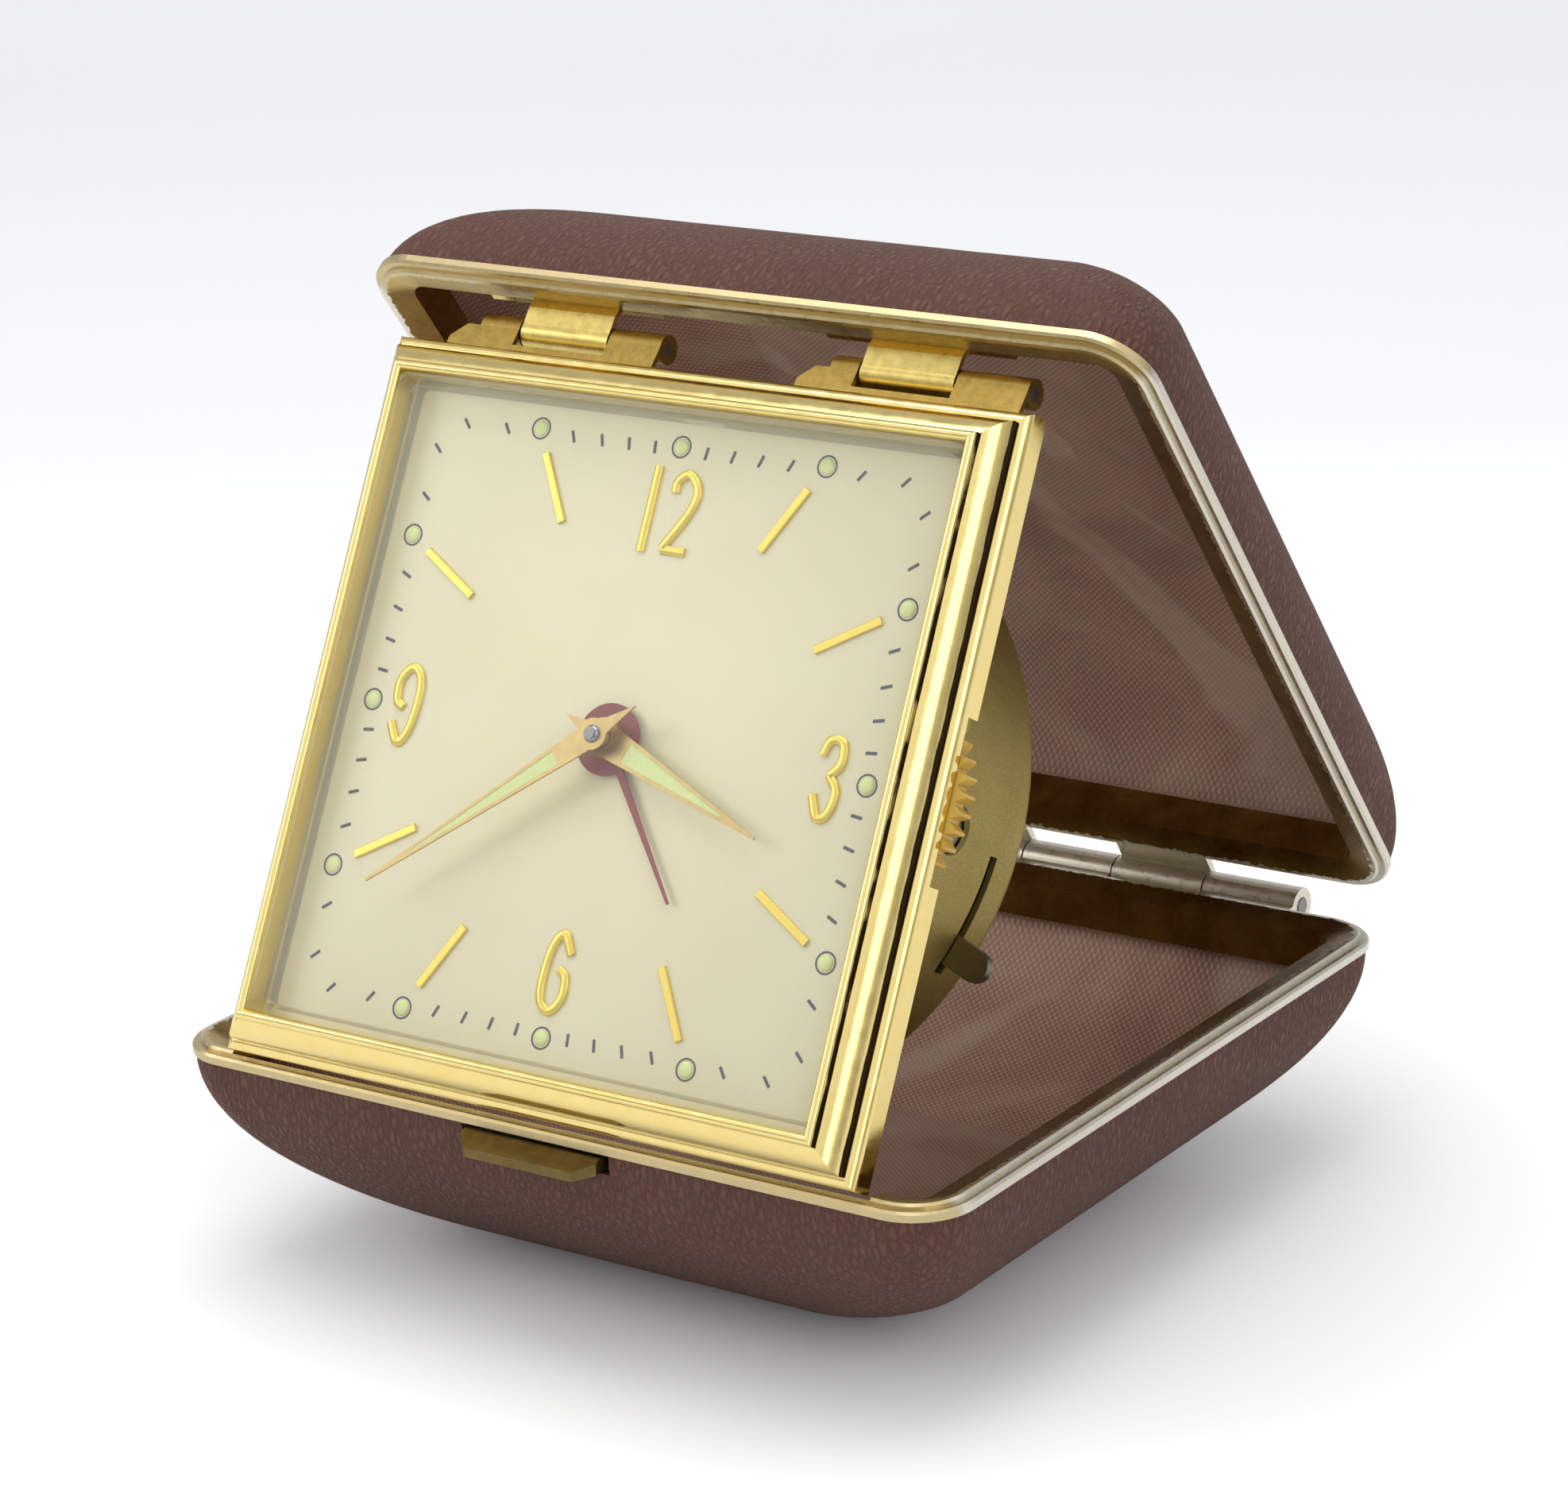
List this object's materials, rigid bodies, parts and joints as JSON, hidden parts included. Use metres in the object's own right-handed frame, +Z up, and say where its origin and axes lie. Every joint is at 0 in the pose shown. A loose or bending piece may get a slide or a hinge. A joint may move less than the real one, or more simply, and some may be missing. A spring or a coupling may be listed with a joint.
{
  "type": "folding travel alarm clock",
  "caption": "Folding travel alarm clock: a square dial with a drum-shaped movement hangs from the lid of a leather-covered clam case and stands on its open base.",
  "frame": {"origin": "middle of the flat underside of the lower case half, on the table", "axes": "+Z up; -Y towards the viewer of the dial, +Y towards the rear case hinge; +X to the right as seen from the dial's side"},
  "size_m": [0.076, 0.0839, 0.0833],
  "materials": {
    "leather": "reddish brown pebble-grained leather",
    "shell_steel": "pressed steel under the leather",
    "lining": "mauve-brown ribbed satin",
    "rim_brass": "worn lacquered brass, silvery where it is rubbed",
    "bezel_brass": "bright polished gold colour",
    "crystal": "clear moulded acrylic",
    "dial_paint": "satin champagne",
    "numeral_brass": "polished",
    "lume": "pale green luminous paint",
    "hand_brass": "aged lacquer",
    "alarm_red": "dark red",
    "drum_brass": "satin, aged",
    "movement_brass": "plain",
    "steel": "plain steel",
    "wheel_brass": "amber lacquer"
  },
  "bodies": {
    "base": {"base_leather": "leather", "base_shell": "shell_steel", "base_lining": "lining", "base_rim": "rim_brass", "rear_hinge_pin": "steel", "catch_bracket": "rim_brass", "catch_pin": "steel"},
    "catch": {"catch_lever": "rim_brass"},
    "lid": {"lid_leather": "leather", "lid_shell": "shell_steel", "lid_lining": "lining", "lid_rim": "rim_brass", "lid_tabs": "rim_brass"},
    "clock": {"bezel": "bezel_brass", "crystal": "crystal", "dial": "dial_paint", "dial_numerals": "numeral_brass", "hour_indices": "numeral_brass", "lume_dots": "lume", "back_frame": "drum_brass", "clock_leaves": "rim_brass", "clock_hinge_pins": "steel", "drum_cover": "drum_brass", "front_plate": "movement_brass", "back_plate": "movement_brass", "plate_pillars": "movement_brass", "frame_spacers": "movement_brass", "plate_screws": "steel", "cover_posts": "movement_brass", "cover_screws": "steel", "thumb_post": "steel", "minute_post": "steel", "gong_band": "steel", "lever_bush": "movement_brass"},
    "minute_hand": {"minute_hand": "hand_brass", "minute_hand_lume": "lume", "cannon_pinion": "movement_brass", "centre_arbor": "steel", "centre_wheel": "movement_brass", "set_knob": "drum_brass"},
    "hour_hand": {"hour_hand": "hand_brass", "hour_hand_lume": "lume", "hour_wheel": "movement_brass"},
    "minute_wheel": {"minute_wheel": "movement_brass"},
    "alarm_hand": {"alarm_hand": "alarm_red", "alarm_wheel": "movement_brass"},
    "thumb_wheel": {"thumb_wheel": "wheel_brass"},
    "going_key": {"going_key": "drum_brass", "going_arbor": "steel"},
    "going_barrel": {"going_barrel": "movement_brass"},
    "alarm_key": {"alarm_key": "drum_brass", "alarm_arbor": "steel"},
    "alarm_barrel": {"alarm_barrel": "movement_brass"},
    "stop_lever": {"stop_lever": "steel"},
    "balance": {"balance_wheel": "movement_brass", "balance_staff": "steel"},
    "hammer": {"hammer": "steel"},
    "regulator": {"regulator_arm": "steel"}
  },
  "joints": [
    {"name": "lid_hinge", "type": "hinge", "parent": "base", "child": "lid", "pos_m": [0, 0.0393, 0.019], "axis": [-1, 0, 0], "range_deg": [0, 112]},
    {"name": "clock_hinge", "type": "hinge", "parent": "lid", "child": "clock", "pos_m": [0, -0.0038, 0.07495], "axis": [1, 0, 0], "range_deg": [0, 62]},
    {"name": "catch", "type": "hinge", "parent": "base", "child": "catch", "pos_m": [0, -0.03415, 0.0173], "axis": [1, 0, 0], "range_deg": [0, 5], "stiffness_Nm_per_rad": 0.01, "springref_deg": -5.73},
    {"name": "minute_hand", "type": "hinge", "parent": "clock", "child": "minute_hand", "pos_m": [0, -0.01551, 0.04395], "axis": [0, 0.8859, -0.4638], "continuous": true},
    {"name": "hour_hand", "type": "hinge", "parent": "clock", "child": "hour_hand", "pos_m": [0, -0.0226, 0.04766], "axis": [0, 0.8859, -0.4638], "continuous": true},
    {"name": "minute_wheel", "type": "hinge", "parent": "clock", "child": "minute_wheel", "pos_m": [-0.00491, -0.02154, 0.04322], "axis": [0, 0.8859, -0.4638], "continuous": true},
    {"name": "going_barrel", "type": "hinge", "parent": "clock", "child": "going_barrel", "pos_m": [-0.01001, -0.01731, 0.03836], "axis": [0, 0.8859, -0.4638], "continuous": true},
    {"name": "thumb_wheel", "type": "hinge", "parent": "clock", "child": "thumb_wheel", "pos_m": [0.02244, -0.02145, 0.04705], "axis": [0, 0.8859, -0.4638], "continuous": true},
    {"name": "alarm_hand", "type": "hinge", "parent": "clock", "child": "alarm_hand", "pos_m": [0, -0.0226, 0.04766], "axis": [0, 0.8859, -0.4638], "continuous": true},
    {"name": "going_key", "type": "hinge", "parent": "clock", "child": "going_key", "pos_m": [-0.01001, -0.0111, 0.03511], "axis": [0, 0.8859, -0.4638], "continuous": true},
    {"name": "alarm_key", "type": "hinge", "parent": "clock", "child": "alarm_key", "pos_m": [0.00947, -0.0022, 0.05212], "axis": [0, 0.8859, -0.4638], "continuous": true},
    {"name": "alarm_barrel", "type": "hinge", "parent": "clock", "child": "alarm_barrel", "pos_m": [0.00947, -0.0084, 0.05536], "axis": [0, 0.8859, -0.4638], "continuous": true},
    {"name": "stop_lever", "type": "hinge", "parent": "clock", "child": "stop_lever", "pos_m": [0, -0.0094, 0.04075], "axis": [0, -0.8859, 0.4638], "range_deg": [-1, 13]},
    {"name": "balance", "type": "hinge", "parent": "clock", "child": "balance", "pos_m": [-0.00842, -0.00752, 0.0549], "axis": [0, 0.8859, -0.4638], "range_deg": [-220, 220], "stiffness_Nm_per_rad": 0.000003},
    {"name": "hammer", "type": "hinge", "parent": "clock", "child": "hammer", "pos_m": [0.01394, -0.01975, 0.0337], "axis": [0, -0.8859, 0.4638], "range_deg": [-8, 16], "stiffness_Nm_per_rad": 0.0005},
    {"name": "regulator", "type": "hinge", "parent": "clock", "child": "regulator", "pos_m": [-0.00842, -0.00397, 0.05305], "axis": [0, -0.8859, 0.4638], "range_deg": [-9, 9]}
  ],
  "couplings": [
    {"joint": "hour_hand", "follows": "minute_hand", "ratio": 0.083333},
    {"joint": "minute_wheel", "follows": "minute_hand", "ratio": -0.33333},
    {"joint": "going_barrel", "follows": "minute_hand", "ratio": -0.13333},
    {"joint": "alarm_hand", "follows": "thumb_wheel", "ratio": -0.7}
  ]
}
